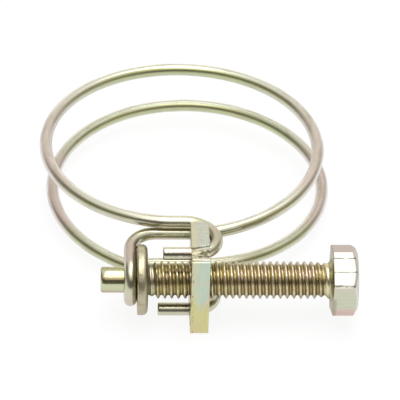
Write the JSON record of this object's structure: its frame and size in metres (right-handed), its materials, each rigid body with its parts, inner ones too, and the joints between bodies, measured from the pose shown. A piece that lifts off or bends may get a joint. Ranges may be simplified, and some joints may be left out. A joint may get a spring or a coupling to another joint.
{
  "type": "double wire hose clamp",
  "caption": "Double wire hose clamp: one bent spring wire forms two rings, an eye and hooks, closed by a hexagon screw that pushes on the eye through a nut plate.",
  "frame": {"origin": "centre of the two rings, midway between them", "axes": "+Z along the hose, +X along the screw towards its head, +Y from the screw to the back of the rings"},
  "size_m": [0.0494, 0.058, 0.0144],
  "materials": {
    "wire_plating": "yellow chromate zinc plating",
    "plate_plating": "yellow chromate zinc plating",
    "washer_plating": "yellow chromate zinc plating",
    "screw_plating": "yellow chromate zinc plating"
  },
  "bodies": {
    "clamp": {"hose_wire": "wire_plating", "nut_plate": "plate_plating"},
    "washer": {"eye_washer": "washer_plating"},
    "screw": {"hex_screw": "screw_plating"}
  },
  "joints": [
    {"name": "screw_turn", "type": "hinge", "parent": "clamp", "child": "washer", "pos_m": [0, -0.02955, 0], "axis": [1, 0, 0], "range_deg": [0, 1800]},
    {"name": "screw_travel", "type": "slide", "parent": "washer", "child": "screw", "axis": [1, 0, 0], "range_m": [0, 0.005]}
  ],
  "couplings": [
    {"joint": "screw_turn", "follows": "screw_travel", "rad_per_m": 6283.2}
  ]
}
